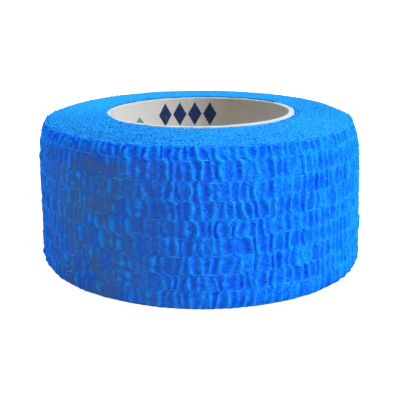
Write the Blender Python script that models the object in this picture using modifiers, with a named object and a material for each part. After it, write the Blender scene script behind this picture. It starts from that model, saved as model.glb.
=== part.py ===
"""A cohesive bandage roll standing on one end face: the wound strip, and the paper core inside it.

Metres, +Z up along the winding axis, with the origin at the centre of the face that the roll stands on.
The front of the roll looks towards -Y, and the cut end of its outer turn is at the back.
"""

import math

import bmesh
import bpy

MM = 0.001

# Driving sizes of the roll.
STRIP_WIDTH = 25 * MM
ROLL_RADIUS = 27 * MM
CORE_BORE_RADIUS = 15 * MM
CORE_WALL = 1 * MM
FIT_GAP = 0.3 * MM

# The paper core.
CORE_RADIUS = CORE_BORE_RADIUS + CORE_WALL
RIM_SOFTNESS = 0.2 * MM
RIM_SEGMENTS = 2
CORE_STEPS = 72
MERGE_DISTANCE = 0.01 * MM

# The wound strip's end faces: flat round the bore, and on top the outer turns' edges stand lower.
BORE_RADIUS = CORE_RADIUS + FIT_GAP
BORE_ROUND = 0.3 * MM
BORE_SEGMENTS = 2
CROWN_RADIUS = 22.2 * MM
CROWN_SEGMENTS = 4
CROWN_POWER = 1.5
EDGE_RADIUS = 25.3 * MM
EDGE_HEIGHT = 24.1 * MM
EDGE_ROUND = 0.25 * MM
FOOT_ROUND = 1.7 * MM
FOOT_SEGMENTS = 4

# Its side: a little wider at the foot, drawn in towards the top edge, and leaning to one side.
TAPER = 0.28 * MM
BARREL_START = 15 * MM
BARREL_PULL = 1.2 * MM
BARREL_POWER = 3
LEAN = 0.2 * MM

# Heights of the elastic yarns, which draw the cloth in between one row of puckers and the next.
YARN_HEIGHTS = tuple(height * MM for height in (3.3, 5.8, 8.5, 11.3, 13.8, 16.6, 19.3, 22.2))
YARN_DEPTH = 0.12 * MM
POINTS_PER_ROW = 3

# The winding: the outer turn ends in a cut end that stands one thickness proud of the turn under it.
CLOTH_THICKNESS = 0.4 * MM
CUT_END_ANGLE = math.radians(118)
CUT_END_SOFTNESS = 0.15 * MM
OUTER_TURNS_START = 23.5 * MM
ROLL_COLUMNS = 92
SHARP_ANGLE = math.radians(50)

# Slow unevenness of the winding: (waves in a turn, height, phase in turns). The top edge's waves die away
# down the side.
SIDE_WAVES = ((2, 0.10 * MM, 0.15), (3, 0.07 * MM, 0.60), (7, 0.05 * MM, 0.35))
TOP_WAVES = ((2, 0.08 * MM, 0.40), (5, 0.06 * MM, 0.10), (11, 0.04 * MM, 0.75))
TOP_WAVE_POWER = 4

BANDAGE_BLUE = (0.012, 0.255, 0.90, 1.0)
BANDAGE_ROUGHNESS = 0.85
BOARD_WHITE = (0.72, 0.70, 0.67, 1.0)
BOARD_ROUGHNESS = 0.8


def clear_scene():
    """Removes what the file holds, so that the model starts empty."""
    for old in list(bpy.data.objects):
        bpy.data.objects.remove(old, do_unlink=True)


def make_collection(name):
    """Links a new collection to the scene and returns it."""
    collection = bpy.data.collections.new(name)
    bpy.context.scene.collection.children.link(collection)
    return collection


def make_material(name, colour, roughness):
    """Returns a plain Principled material."""
    material = bpy.data.materials.new(name)
    material.use_nodes = True
    shader = material.node_tree.nodes["Principled BSDF"]
    shader.inputs["Base Color"].default_value = colour
    shader.inputs["Roughness"].default_value = roughness
    shader.inputs["Metallic"].default_value = 0.0
    return material


def corner(centre, radius, start, segments):
    """Points of a quarter circle from the angle start, a quarter turn clockwise, ends included."""
    points = []
    for i in range(segments + 1):
        angle = start - math.pi / 2 * i / segments
        points.append((centre[0] + radius * math.cos(angle), centre[1] + radius * math.sin(angle)))
    return points


def side_radius(height):
    """Radius of the roll's side at a height, without the rows."""
    middle = STRIP_WIDTH / 2
    drawn_in = max(0.0, (height - BARREL_START) / (EDGE_HEIGHT - BARREL_START)) ** BARREL_POWER
    return ROLL_RADIUS + TAPER * (middle - height) / middle - BARREL_PULL * drawn_in


def crown_points():
    """Points from the flat of the top face out to the top edge, which stands lower."""
    points = []
    for i in range(CROWN_SEGMENTS + 1):
        share = i / CROWN_SEGMENTS
        radius = CROWN_RADIUS + (EDGE_RADIUS - CROWN_RADIUS) * share
        points.append((radius, STRIP_WIDTH - (STRIP_WIDTH - EDGE_HEIGHT) * share ** CROWN_POWER))
    return points


def row_points():
    """Points down the roll's side: one in each yarn's groove, and the rows bulging between them."""
    stops = (FOOT_ROUND,) + YARN_HEIGHTS + (EDGE_HEIGHT - EDGE_ROUND,)
    points = []
    for low, high in zip(stops, stops[1:]):
        for i in range(POINTS_PER_ROW):
            share = i / POINTS_PER_ROW
            height = low + (high - low) * share
            groove = YARN_DEPTH * (1 - math.sin(math.pi * share))
            points.append((side_radius(height) - groove, height))
    top = stops[-1]
    points.append((side_radius(top), top))
    points.reverse()
    # The lowest point is left to the round at the foot.
    return points[:-1]


def roll_profile():
    """The roll's closed section at +X: along the top, down the side, back under it and up the bore."""
    bore_top = (BORE_RADIUS + BORE_ROUND, STRIP_WIDTH - BORE_ROUND)
    bore_foot = (BORE_RADIUS + BORE_ROUND, BORE_ROUND)
    foot = (side_radius(FOOT_ROUND) - FOOT_ROUND, FOOT_ROUND)
    return (
        corner(bore_top, BORE_ROUND, math.pi, BORE_SEGMENTS)
        + crown_points()
        + row_points()
        + corner(foot, FOOT_ROUND, 0, FOOT_SEGMENTS)
        + corner(bore_foot, BORE_ROUND, -math.pi / 2, BORE_SEGMENTS)
    )


def core_profile():
    """The core's closed section at +X, with both rims softened."""
    outer, inner = CORE_RADIUS - RIM_SOFTNESS, CORE_BORE_RADIUS + RIM_SOFTNESS
    top, foot = STRIP_WIDTH - RIM_SOFTNESS, RIM_SOFTNESS
    quarter = math.pi / 2
    return (
        corner((inner, top), RIM_SOFTNESS, 2 * quarter, RIM_SEGMENTS)
        + corner((outer, top), RIM_SOFTNESS, quarter, RIM_SEGMENTS)
        + corner((outer, foot), RIM_SOFTNESS, 0, RIM_SEGMENTS)
        + corner((inner, foot), RIM_SOFTNESS, -quarter, RIM_SEGMENTS)
    )


def profile_mesh(points):
    """Returns a bmesh with the closed section in the XZ plane."""
    mesh = bmesh.new()
    ring = [mesh.verts.new((x, 0, z)) for x, z in points]
    for start, end in zip(ring, ring[1:] + ring[:1]):
        mesh.edges.new((start, end))
    return mesh


def waves(table, turn):
    """Sum of slow waves at a share of a turn."""
    return sum(
        height * math.sin(2 * math.pi * (count * turn + phase)) for count, height, phase in table
    )


def wind(point, column):
    """Moves a point of the turned form to its place on the wound one.

    The columns run a full turn from one side of the cut end to the other, and the last gap between two
    columns is the cut end itself.
    """
    radius, height = math.hypot(point.x, point.y), point.z
    turn = column / (ROLL_COLUMNS - 1)
    end_gap = CUT_END_SOFTNESS / ROLL_RADIUS
    angle = CUT_END_ANGLE + turn * (2 * math.pi - end_gap)
    outward = min(1.0, max(0.0, (radius - OUTER_TURNS_START) / (EDGE_RADIUS - OUTER_TURNS_START)))
    upward = height / STRIP_WIDTH
    # The radius grows with the angle, up to the cut end.
    growth = CLOTH_THICKNESS * (turn - 0.5) + waves(SIDE_WAVES, turn)
    radius += growth * outward
    height += waves(TOP_WAVES, turn) * outward * upward ** TOP_WAVE_POWER
    shift = LEAN * (1 - 2 * upward) * outward
    point.x = radius * math.cos(angle) + shift
    point.y = radius * math.sin(angle)
    point.z = height


def add_part(name, mesh, collection, material):
    """Adds an object for a finished bmesh and returns it."""
    data = bpy.data.meshes.new(name)
    mesh.to_mesh(data)
    mesh.free()
    data.materials.append(material)
    part = bpy.data.objects.new(name, data)
    collection.objects.link(part)
    return part


def make_roll(collection):
    """The wound strip: its section spun round, then wound up to its cut end."""
    mesh = profile_mesh(roll_profile())
    bmesh.ops.spin(
        mesh,
        geom=mesh.verts[:] + mesh.edges[:],
        cent=(0, 0, 0),
        axis=(0, 0, 1),
        dvec=(0, 0, 0),
        angle=2 * math.pi,
        steps=ROLL_COLUMNS,
        use_merge=True,
        use_duplicate=False,
    )
    step = 2 * math.pi / ROLL_COLUMNS
    for vert in mesh.verts:
        column = round(math.atan2(vert.co.y, vert.co.x) / step) % ROLL_COLUMNS
        wind(vert.co, column)
    bmesh.ops.recalc_face_normals(mesh, faces=mesh.faces[:])
    material = make_material("bandage", BANDAGE_BLUE, BANDAGE_ROUGHNESS)
    roll = add_part("roll", mesh, collection, material)
    roll.data.shade_smooth()
    roll.data.set_sharp_from_angle(angle=SHARP_ANGLE)


def make_core(collection):
    """The paper core: its section turned with a Screw modifier."""
    material = make_material("paper_board", BOARD_WHITE, BOARD_ROUGHNESS)
    core = add_part("core", profile_mesh(core_profile()), collection, material)
    screw = core.modifiers.new("turn", "SCREW")
    screw.axis = "Z"
    screw.angle = 2 * math.pi
    screw.steps = CORE_STEPS
    screw.render_steps = CORE_STEPS
    screw.use_merge_vertices = True
    screw.merge_threshold = MERGE_DISTANCE
    screw.use_smooth_shade = True


def main():
    clear_scene()
    collection = make_collection("cohesive_bandage_roll")
    make_roll(collection)
    make_core(collection)


main()
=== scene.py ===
"""Looks of a cohesive bandage roll: crinkled blue cloth wound on a white paper core.

Metres, +Z up along the winding axis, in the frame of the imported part. The strip's outer turn, the turns under
it, its elastic yarns, its loose fibres and the paper core are each made by a class of their own.
"""

import logging
import math
from dataclasses import dataclass
from enum import Enum

import bmesh
import bpy
import numpy as np
from mathutils import Matrix, Vector


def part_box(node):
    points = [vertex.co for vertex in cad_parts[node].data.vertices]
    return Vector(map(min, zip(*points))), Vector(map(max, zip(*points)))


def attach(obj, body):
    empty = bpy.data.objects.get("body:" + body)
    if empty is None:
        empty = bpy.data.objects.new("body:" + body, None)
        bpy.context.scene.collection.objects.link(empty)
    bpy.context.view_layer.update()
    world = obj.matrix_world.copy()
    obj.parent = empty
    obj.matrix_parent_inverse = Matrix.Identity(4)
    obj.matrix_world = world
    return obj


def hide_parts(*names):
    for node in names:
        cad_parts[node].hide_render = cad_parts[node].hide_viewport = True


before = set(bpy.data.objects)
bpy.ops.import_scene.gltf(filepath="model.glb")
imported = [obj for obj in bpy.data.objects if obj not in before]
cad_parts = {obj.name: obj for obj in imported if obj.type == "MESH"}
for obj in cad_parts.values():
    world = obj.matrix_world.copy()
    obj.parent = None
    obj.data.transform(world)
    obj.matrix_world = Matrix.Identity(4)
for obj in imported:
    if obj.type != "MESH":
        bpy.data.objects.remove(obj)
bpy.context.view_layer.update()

LOG = logging.getLogger("bandage_roll")
MM = 0.001
FULL_TURN = 2 * math.pi
WELD = 0.0002 * MM

Colour = tuple[float, float, float, float]
Numbers = np.ndarray | float


# ---------------------------------------------------------------- curves and random unevenness


def smooth_step(share: Numbers) -> np.ndarray:
    """Eases a share from 0 to 1."""
    share = np.clip(share, 0, 1)
    return share * share * (3 - 2 * share)


def smooth_ramp(value: float, start: float, end: float) -> float:
    """Eases from 0 at start to 1 at end."""
    return float(smooth_step((value - start) / (end - start)))


def bell(offset: Numbers, width: Numbers) -> np.ndarray:
    """A smooth bump: 1 at an offset of 0, and almost 0 past twice the width."""
    return np.exp(-((offset / width) ** 2))


def arch(share: float) -> float:
    """Half a wave: 0 at both ends and 1 in the middle."""
    return math.sin(math.pi * min(1.0, max(0.0, share)))


def around_axis(radius: np.ndarray, angle: np.ndarray, height: np.ndarray) -> np.ndarray:
    """Points at a distance from the axis, an angle and a height, with a last axis of 3."""
    return np.stack((radius * np.cos(angle), radius * np.sin(angle), height), axis=-1)


@dataclass
class Unevenness:
    """Smooth random values from -1 to 1 on a grid that closes on itself round the roll.

    Attributes:
        seed: seed of the random values.
        around: number of values in one turn.
        across: number of values across, from 0 to 1.
    """

    seed: int
    around: int
    across: int

    def __post_init__(self) -> None:
        """Draws the values."""
        self.values = np.random.default_rng(self.seed).uniform(-1, 1, (self.around, self.across))

    def at(self, turn: Numbers, share: Numbers) -> np.ndarray:
        """Reads the values between the grid's points.

        Args:
            turn: place round the roll, in turns.
            share: place across, from 0 to 1.

        Returns:
            One value for each place.
        """
        x = np.asarray(turn) * self.around
        y = np.clip(share, 0, 1) * (self.across - 1)
        left = np.floor(x).astype(int)
        low = np.clip(np.floor(y).astype(int), 0, max(0, self.across - 2))
        right_share = smooth_step(x - left)
        high_share = smooth_step(y - low)
        high = np.minimum(low + 1, self.across - 1)
        left, right = left % self.around, (left + 1) % self.around
        bottom = self.values[left, low] * (1 - right_share) + self.values[right, low] * right_share
        top = self.values[left, high] * (1 - right_share) + self.values[right, high] * right_share
        return bottom * (1 - high_share) + top * high_share


@dataclass(frozen=True)
class Patch:
    """A stretch of the outer turn that differs from the rest, most at its middle.

    Attributes:
        middle: its middle, in turns from the cut end.
        reach: how far it reaches to either side, in turns.
        strength: how much it differs at its middle.
    """

    middle: float
    reach: float
    strength: float

    def at(self, turn: np.ndarray) -> np.ndarray:
        """How much it differs at a place."""
        return self.strength * bell(turn - self.middle, self.reach)


@dataclass(frozen=True)
class Spread:
    """How a size varies from one pucker to the next.

    Attributes:
        mean: its mean.
        deviation: its standard deviation.
        low: its least value.
        high: its greatest value.
    """

    mean: float
    deviation: float
    low: float
    high: float

    def draw(self, random: np.random.Generator, shape: tuple[int, int]) -> np.ndarray:
        """Draws one value for every pucker."""
        return np.clip(random.normal(self.mean, self.deviation, shape), self.low, self.high)


# ---------------------------------------------------------------- helpers for meshes and objects


def wrapped_strip(
    name: str,
    places: np.ndarray,
    marks: dict[str, np.ndarray],
    ring: bool = False,
) -> bpy.types.Mesh:
    """Makes one closed body from a grid: its columns run along the strip, and its stations round its section.

    Args:
        name: name of the mesh.
        places: points, as an array of columns by stations by 3. The section's last station meets its first.
        marks: numbers to keep at the points, by name, as arrays of columns by stations.
        ring: whether the last column meets the first. Otherwise both ends are closed with a face.

    Returns:
        The mesh, with its faces pointing out.
    """
    if ring:
        places = np.concatenate((places, places[:1]), axis=0)
        marks = {key: np.concatenate((mark, mark[:1]), axis=0) for key, mark in marks.items()}
    places = np.concatenate((places, places[:, :1]), axis=1)
    marks = {key: np.concatenate((mark, mark[:, :1]), axis=1) for key, mark in marks.items()}
    columns, stations = places.shape[:2]
    body = bmesh.new()
    layers = {key: body.verts.layers.float.new(key) for key in marks}
    # The grid's points come row by row, and a row holds one station of every column.
    bmesh.ops.create_grid(body, x_segments=columns - 1, y_segments=stations - 1, size=1)
    for vert, place in zip(body.verts, places.transpose(1, 0, 2).reshape(-1, 3).tolist()):
        vert.co = place
    for key, mark in marks.items():
        for vert, value in zip(body.verts, mark.T.reshape(-1).tolist()):
            vert[layers[key]] = value
    outline = [vert for vert in body.verts if vert.is_boundary]
    bmesh.ops.remove_doubles(body, verts=outline, dist=WELD)
    open_edges = [edge for edge in body.edges if edge.is_boundary]
    if open_edges:
        bmesh.ops.holes_fill(body, edges=open_edges, sides=0)
    bmesh.ops.recalc_face_normals(body, faces=body.faces[:])
    mesh = bpy.data.meshes.new(name)
    body.to_mesh(mesh)
    body.free()
    return mesh


def add_object(name: str, data: bpy.types.ID) -> bpy.types.Object:
    """Adds an object for a mesh, a curve, a light or a camera to the scene.

    Args:
        name: name of the object.
        data: what it shows or holds.

    Returns:
        The object.
    """
    added = bpy.data.objects.new(name, data)
    bpy.context.scene.collection.objects.link(added)
    return added


def add_piece(name: str, mesh: bpy.types.Mesh, finish: bpy.types.Material) -> bpy.types.Object:
    """Adds a piece to the scene, dresses it, and lets it ride on the part.

    Args:
        name: name of the piece.
        mesh: its mesh, in place.
        finish: its material.

    Returns:
        The piece.
    """
    mesh.materials.clear()
    mesh.materials.append(finish)
    piece = add_object(name, mesh)
    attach(piece, "root")
    return piece


def threads(name: str, lines: list[np.ndarray], radius: float) -> bpy.types.Mesh:
    """Makes thin threads along lines, as one mesh.

    Args:
        name: name of the mesh.
        lines: the lines, each an array of points.
        radius: radius of a thread.

    Returns:
        The threads' mesh.
    """
    curve = bpy.data.curves.new(name, "CURVE")
    curve.dimensions = "3D"
    curve.bevel_depth = radius
    curve.bevel_resolution = 0
    curve.use_fill_caps = True
    for line in lines:
        spline = curve.splines.new("POLY")
        spline.points.add(len(line) - 1)
        spline.points.foreach_set("co", np.column_stack((line, np.ones(len(line)))).ravel())
    holder = add_object(name + "_line", curve)
    evaluated = holder.evaluated_get(bpy.context.evaluated_depsgraph_get())
    mesh = bpy.data.meshes.new_from_object(evaluated)
    mesh.name = name
    bpy.data.objects.remove(holder)
    bpy.data.curves.remove(curve)
    return mesh


# ---------------------------------------------------------------- the wound form


@dataclass(frozen=True)
class WoundForm:
    """The main form of the wound strip, which every piece of cloth follows.

    Attributes:
        strip_width: width of the strip, and so the height of the roll.
        core_radius: outer radius of the paper core.
        turns: number of turns under the outer one.
        cloth: thickness of one turn.
        roll_radius: radius of the roll at half its height.
        flat_radius: radius at which the top face starts to fall towards its edge.
        edge_radius: radius of the top edge.
        edge_height: height of the top edge.
        edge_round: rounding of the strip's top edge.
        crown_power: how sharply the top face falls.
        foot_round: radius of the rounding at the foot.
        taper: how much wider the side is at the foot than at half its height.
        barrel_start: height at which the side starts to draw in towards the top edge.
        barrel_pull: how far the side is drawn in at the top edge.
        barrel_power: how sharply it is drawn in.
        lean: sideways shift of the foot, and the opposite of the top's.
        cut_end_angle: angle at which the outer turn's cut end lies.
        cut_end_gap: gap between the cut end and the strip's next turn, along the roll's side.
        loose_from: radius outside which turns follow the roll's slow waves.
        yarn_heights: heights of the elastic yarns.
        yarn_depth: depth to which a yarn draws the cloth in.
        side_waves: slow waves of the side: their number in a turn, their height and their start, in turns.
        top_waves: the same of the top face.
        top_wave_power: how sharply the top face's waves die away below it.
    """

    strip_width: float
    core_radius: float
    turns: int = 21
    cloth: float = 0.4 * MM
    roll_radius: float = 27 * MM
    flat_radius: float = 22.2 * MM
    edge_radius: float = 25.3 * MM
    edge_height: float = 24.1 * MM
    edge_round: float = 0.26 * MM
    crown_power: float = 1.5
    foot_round: float = 1.7 * MM
    taper: float = 0.28 * MM
    barrel_start: float = 15 * MM
    barrel_pull: float = 1.2 * MM
    barrel_power: float = 3
    lean: float = 0.2 * MM
    cut_end_angle: float = math.radians(118)
    cut_end_gap: float = 0.09 * MM
    loose_from: float = 23.5 * MM
    yarn_heights: tuple[float, ...] = tuple(h * MM for h in (3.3, 5.8, 8.5, 11.3, 13.8, 16.6, 19.3, 22.2))
    yarn_depth: float = 0.12 * MM
    side_waves: tuple[tuple[int, float, float], ...] = (
        (2, 0.10 * MM, 0.15), (3, 0.07 * MM, 0.60), (7, 0.05 * MM, 0.35),
    )
    top_waves: tuple[tuple[int, float, float], ...] = (
        (2, 0.08 * MM, 0.40), (5, 0.06 * MM, 0.10), (11, 0.04 * MM, 0.75),
    )
    top_wave_power: int = 4

    @classmethod
    def from_frame(cls) -> "WoundForm":
        """Takes the strip's width and the core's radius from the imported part."""
        core_low, core_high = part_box("core")
        return cls(strip_width=core_high.z - core_low.z, core_radius=core_high.x)

    def side_radius(self, height: Numbers) -> np.ndarray:
        """Works out the roll's side.

        Args:
            height: height above the foot.

        Returns:
            The side's distance from the axis.
        """
        middle = self.strip_width / 2
        share = (np.asarray(height) - self.barrel_start) / (self.edge_height - self.barrel_start)
        drawn_in = np.clip(share, 0, None) ** self.barrel_power
        return self.roll_radius + self.taper * (middle - height) / middle - self.barrel_pull * drawn_in

    def crown_height(self, radius: Numbers) -> np.ndarray:
        """Works out the top face.

        Args:
            radius: distance from the axis.

        Returns:
            The top face's height above the foot.
        """
        share = (np.asarray(radius) - self.flat_radius) / (self.edge_radius - self.flat_radius)
        fall = np.clip(share, 0, None) ** self.crown_power
        return self.strip_width - (self.strip_width - self.edge_height) * fall

    def slow(self, waves: tuple[tuple[int, float, float], ...], turn: np.ndarray) -> np.ndarray:
        """Sum of slow waves at a share of a turn."""
        return sum(height * np.sin(FULL_TURN * (count * turn + start)) for count, height, start in waves)

    def place(self, radius: np.ndarray, height: np.ndarray, turn: np.ndarray) -> np.ndarray:
        """Winds points to their places.

        Args:
            radius: distance from the axis, before the winding.
            height: height above the foot.
            turn: share of the outer turn, which starts and ends at the cut end.

        Returns:
            The places, with a last axis of 3.
        """
        angle = self.cut_end_angle + turn * (FULL_TURN - self.cut_end_gap / self.roll_radius)
        outward = np.clip((radius - self.loose_from) / (self.edge_radius - self.loose_from), 0, 1)
        upward = np.clip(height / self.strip_width, 0, 1)
        growth = self.cloth * (turn - 0.5) + self.slow(self.side_waves, turn)
        radius = radius + growth * outward
        height = height + self.slow(self.top_waves, turn) * outward * upward ** self.top_wave_power
        places = around_axis(radius, angle, height)
        places[..., 0] += self.lean * (1 - 2 * upward) * outward
        return places


# ---------------------------------------------------------------- the puckers


@dataclass
class PuckerLine:
    """The sizes of the puckers along one line round the roll, with one value for every ridge.

    Attributes:
        side: sideways shift, in ridges.
        width: width of a flank, in ridges.
        ridge: height.
        depth: depth of the hollow that follows.
        middle: height of a small ridge in that hollow.
        closed: how near the line is to a yarn, from 0 to 1.
    """

    side: np.ndarray
    width: np.ndarray
    ridge: np.ndarray
    depth: np.ndarray
    middle: np.ndarray
    closed: float = 0.0


@dataclass
class Crinkle:
    """The puckers of the cloth: ridges that run from yarn to yarn, and the hollows between them.

    Sideways measures are in ridges: 1 is the way from one ridge to the next.

    Attributes:
        form: the roll's main form.
        seed: seed of the random draws.
        ridges: number of ridges in a turn.
        cuts: shares of the way from one ridge to the next at which the mesh has a column.
        foot_overhang: how far the lowest row goes on round the foot.
        edge_overhang: how far the highest row goes on over the top edge.
        drift: how far a row shifts sideways little by little.
        stagger: how far single ridges shift sideways.
        askew: how far a row shifts against the rows next to it.
        more_askew: where rows shift further.
        slant_spread: deviation of the ridges' slant.
        bow_spread: deviation of the ridges' bow.
        lens_bow: range of how far neighbours bow apart, which leaves lens-shaped hollows between them.
        wandering: how far a ridge wanders sideways on its way up.
        nearest: least distance between two ridges.
        spacing_rounds: how often ridges that are too near are moved apart.
        square_ridges: number of ridges from the cut end over which the shifts die away.
        ridge_width: width of a ridge's flank.
        width_range: range of the widths, as shares of it.
        yarn_widening: how much wider a ridge is at a yarn.
        ridge_height: height of a common ridge.
        height_spread: how the heights vary.
        low_share: share of the ridges that stay low, and the height that they keep.
        hollow_depth: depth of a common hollow.
        depth_spread: how the depths vary.
        open_range: range of how much of its depth a hollow keeps at a yarn.
        middle_share: share of the hollows that have a small ridge in them.
        middle_range: range of its height, as a share of a common ridge.
        middle_width: its width.
        pinch: share of the height that is left where a yarn holds the cloth.
        yarn_zone: half the height over which ridges shift at a yarn.
        swell_power: how soon the cloth swells above a yarn: the smaller, the sooner.
        hollow_rise: the same of the hollows' depth.
        hollow_power: how narrow the hollows' floors are.
        groove: share of the yarns' depth by which they draw these puckers in.
        inset: how far the whole face lies inside the form's side.
        lump: height of small lumps.
        roughness: deviation of single points.
        fade: how much a ridge's height varies on its way up, and how much more in a calm place.
        calm_places: where the cloth was wound tighter, and the share of the height that is missing there;
        the tone is darkened there too, as painted shade.
        calm_gain: how soon a calm place has its full lens-shaped puckers.
        calm_top_row: how much of the calm reaches the row under the last yarn.
        calm_depth_power: how much of the depth a calm place takes away.
        standing: how far single puckers still stand in a calm place, from 0 to 1.
        standing_height: height of one that stands fully, as a share of a common one.
        lens_foot: share of its height that a lens-shaped pucker has at a yarn.
        lens_power: how soon it rises from there.
        lens_top: how much of that lens shape shows over the last yarn.
        tone_range: height that leads from the tone of a hollow to the tone of a ridge; the darker tone of the
        lower places is partly the cloth's own and partly painted shade of the hollows.
        tone_base: height added to all for the tone.
        tone_yarn: height added at a yarn for the tone.
        calm_painted_shade: height taken off in a calm place for the tone: painted shade, most on the front
            left.
        tone_lump: how strongly lumps show in the tone.
        calm_shade_heights: heights between which that painted shade sets in, from the top edge down.
    """

    form: WoundForm
    seed: int = 11
    ridges: int = 127
    cuts: tuple[float, ...] = (0.0, 0.12, 0.27, 0.43, 0.57, 0.73, 0.88)
    foot_overhang: float = 2.6 * MM
    edge_overhang: float = 0.9 * MM
    drift: float = 0.38
    stagger: float = 0.15
    askew: float = 0.04
    more_askew: Patch = Patch(0.34, 0.12, 0.16)
    slant_spread: float = 0.12
    bow_spread: float = 0.09
    lens_bow: tuple[float, float] = (-0.05, 0.24)
    wandering: float = 0.09
    nearest: float = 0.46
    spacing_rounds: int = 3
    square_ridges: int = 2
    ridge_width: float = 0.30
    width_range: tuple[float, float] = (0.7, 1.35)
    yarn_widening: float = 0.25
    ridge_height: float = 0.15 * MM
    height_spread: Spread = Spread(1, 0.32, 0.25, 1.6)
    low_share: tuple[float, float] = (0.10, 0.25)
    hollow_depth: float = 0.17 * MM
    depth_spread: Spread = Spread(1, 0.4, 0.2, 2)
    open_range: tuple[float, float] = (0.1, 0.85)
    middle_share: float = 0.42
    middle_range: tuple[float, float] = (0.25, 0.8)
    middle_width: float = 0.13
    pinch: float = 0.92
    yarn_zone: float = 0.22 * MM
    swell_power: float = 0.55
    hollow_rise: float = 1.6
    hollow_power: float = 1.3
    groove: float = 0.25
    inset: float = 0.03 * MM
    lump: float = 0.045 * MM
    roughness: float = 0.014 * MM
    fade: tuple[float, float] = (0.5, 0.6)
    calm_places: tuple[Patch, ...] = (Patch(0.31, 0.125, 0.88), Patch(0.86, 0.06, 0.3))
    calm_gain: float = 1.25
    calm_top_row: float = 0.6
    calm_depth_power: float = 0.6
    standing: Spread = Spread(0.66, 0.34, 0, 1)
    standing_height: float = 1.1
    lens_foot: float = 0.3
    lens_power: float = 1.8
    lens_top: float = 0.3
    tone_range: float = 0.33 * MM
    tone_base: float = 0.16 * MM
    tone_yarn: float = 0.03 * MM
    calm_painted_shade: float = 0.105 * MM
    tone_lump: float = 1.5
    calm_shade_heights: tuple[float, float] = (24 * MM, 21.5 * MM)

    def __post_init__(self) -> None:
        """Draws every ridge's place, bow and height in each row."""
        form = self.form
        self.random = np.random.default_rng(self.seed)
        self.stops = np.array(
            (-self.foot_overhang, *form.yarn_heights, form.edge_height + self.edge_overhang)
        )
        self.turn = np.arange(self.ridges) / self.ridges
        rows = len(self.stops) - 1
        self.draw_places((rows, self.ridges))
        self.draw_heights((rows, self.ridges))
        self.calm_down(self.standing.draw(self.random, (rows, self.ridges)))
        self.wander = Unevenness(self.seed + 2, self.ridges, rows * 4)
        self.lumps = Unevenness(self.seed + 3, self.ridges * 4, rows * 12)
        self.fading = Unevenness(self.seed + 4, self.ridges * 2, rows * 5)

    def draw_places(self, shape: tuple[int, int]) -> None:
        """Draws how far every ridge shifts, slants and bows.

        Args:
            shape: number of rows and of ridges.
        """
        rows = shape[0]
        slow = Unevenness(self.seed + 1, self.ridges // 4, rows)
        drift = np.array([slow.at(self.turn, row / (rows - 1)) for row in range(rows)])
        self.shift = self.drift * drift + self.random.uniform(-self.stagger, self.stagger, shape)
        askew = self.askew + self.more_askew.at(self.turn)
        self.shift += np.where(np.arange(rows) % 2, 1, -1)[:, None] * askew
        self.slant = self.random.normal(0, self.slant_spread, shape)
        lens = np.where(np.arange(self.ridges) % 2, 1, -1) * self.random.uniform(*self.lens_bow, shape)
        self.bow = self.random.normal(0, self.bow_spread, shape) + lens

    def draw_heights(self, shape: tuple[int, int]) -> None:
        """Draws every ridge's width and height, and its hollow's depth.

        Args:
            shape: number of rows and of ridges.
        """
        random = self.random
        low_share, low_height = self.low_share
        self.width = self.ridge_width * random.uniform(*self.width_range, shape)
        self.height = self.ridge_height * self.height_spread.draw(random, shape)
        self.height *= np.where(random.random(shape) < low_share, low_height, 1)
        self.depth = self.hollow_depth * self.depth_spread.draw(random, shape)
        self.open = random.uniform(*self.open_range, shape)
        has_middle = random.random(shape) < self.middle_share
        self.middle = self.ridge_height * np.where(has_middle, random.uniform(*self.middle_range, shape), 0)

    def calm_down(self, standing: np.ndarray) -> None:
        """Lowers the puckers in the calm places, in every row but the one over the last yarn.

        Args:
            standing: how far every pucker still stands there, from 0 to 1.
        """
        rows = len(standing)
        strength = np.ones(self.ridges)
        for patch in self.calm_places:
            strength *= 1 - patch.at(self.turn)
        for row in range(rows - 1):
            calmed = 1.0 if row < rows - 2 else self.calm_top_row
            held = 1 - calmed + calmed * strength
            self.height[row] *= held + (self.standing_height - held) * standing[row]
            self.depth[row] *= held ** self.calm_depth_power
            self.middle[row] *= held
        self.calm = 1 - strength
        self.lens_rows = np.ones(rows)
        self.lens_rows[-1] = self.lens_top

    def rows_at(self, along: float) -> list[tuple[int, float, float]]:
        """Says which rows a height takes part in.

        Args:
            along: height along the strip's face.

        Returns:
            For each row, its number, the share of the way up it, and its weight.
        """
        last = len(self.stops) - 2
        row = int(np.clip(np.searchsorted(self.stops, along, side="right") - 1, 0, last))
        low, high = self.stops[row], self.stops[row + 1]
        share = (along - low) / (high - low)
        for other, other_share, way in ((row - 1, 1.0, along - low), (row + 1, 0.0, high - along)):
            if 0 <= other <= last and way < self.yarn_zone:
                own = 0.5 + 0.5 * smooth_ramp(way, 0, self.yarn_zone)
                return [(row, share, own), (other, other_share, 1 - own)]
        return [(row, share, 1.0)]

    def swell(self, row: int, share: float) -> float:
        """Works out how far the cloth swells.

        Args:
            row: number of the row between two yarns.
            share: share of the way up it.

        Returns:
            0 at a yarn, and 1 between two yarns or past the last one.
        """
        last = len(self.stops) - 2
        if row == 0 and share < 0.5 or row == last and share > 0.5:
            return 1.0
        return arch(share) ** self.swell_power

    def line_at(self, along: float) -> PuckerLine:
        """Blends the rows that a height takes part in.

        Args:
            along: height along the strip's face.

        Returns:
            The sizes of the puckers there.
        """
        line = PuckerLine(*np.zeros((5, self.ridges)))
        for row, share, weight in self.rows_at(along):
            swell = self.swell(row, share)
            place = self.shift[row] + self.slant[row] * (share - 0.5) * 2 + self.bow[row] * arch(share)
            line.side += weight * place
            line.width += weight * self.width[row] * (1 + self.yarn_widening * (1 - swell))
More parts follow.
